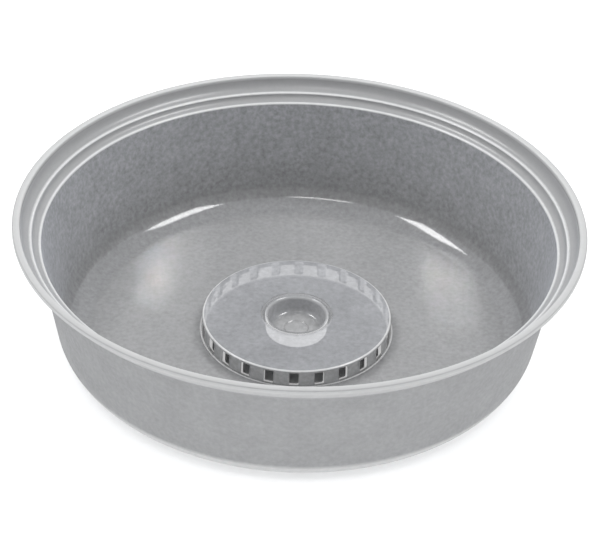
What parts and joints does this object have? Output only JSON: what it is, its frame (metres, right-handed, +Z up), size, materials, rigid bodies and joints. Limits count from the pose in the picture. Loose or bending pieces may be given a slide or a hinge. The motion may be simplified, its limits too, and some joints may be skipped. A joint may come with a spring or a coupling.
{
  "type": "round drain pan with vent cap",
  "caption": "Round translucent plastic pan with a flared, stepped rim, a raised slotted vent cap over a hole in its flat floor, and a small central cup.",
  "frame": {"origin": "middle of the pan's underside, on the surface that it stands on", "axes": "+Z up along the pan's axis of revolution, out of its mouth; X and Y are equal, with a slot on each"},
  "size_m": [0.26, 0.26, 0.0665],
  "materials": {
    "pan_plastic": "satin moulded, translucent, natural",
    "cap_plastic": "satin moulded, translucent, natural",
    "cup_plastic": "satin moulded, translucent, natural"
  },
  "bodies": {
    "pan": {"pan_shell": "pan_plastic"},
    "cap": {"vent_cap": "cap_plastic"},
    "cup": {"centre_cup": "cup_plastic"}
  },
  "joints": [
    {"name": "cap_lift", "type": "slide", "parent": "pan", "child": "cap", "axis": [0, 0, 1], "range_m": [0, 0.08]},
    {"name": "cup_lift", "type": "slide", "parent": "cap", "child": "cup", "axis": [0, 0, 1], "range_m": [0, 0.02]}
  ]
}
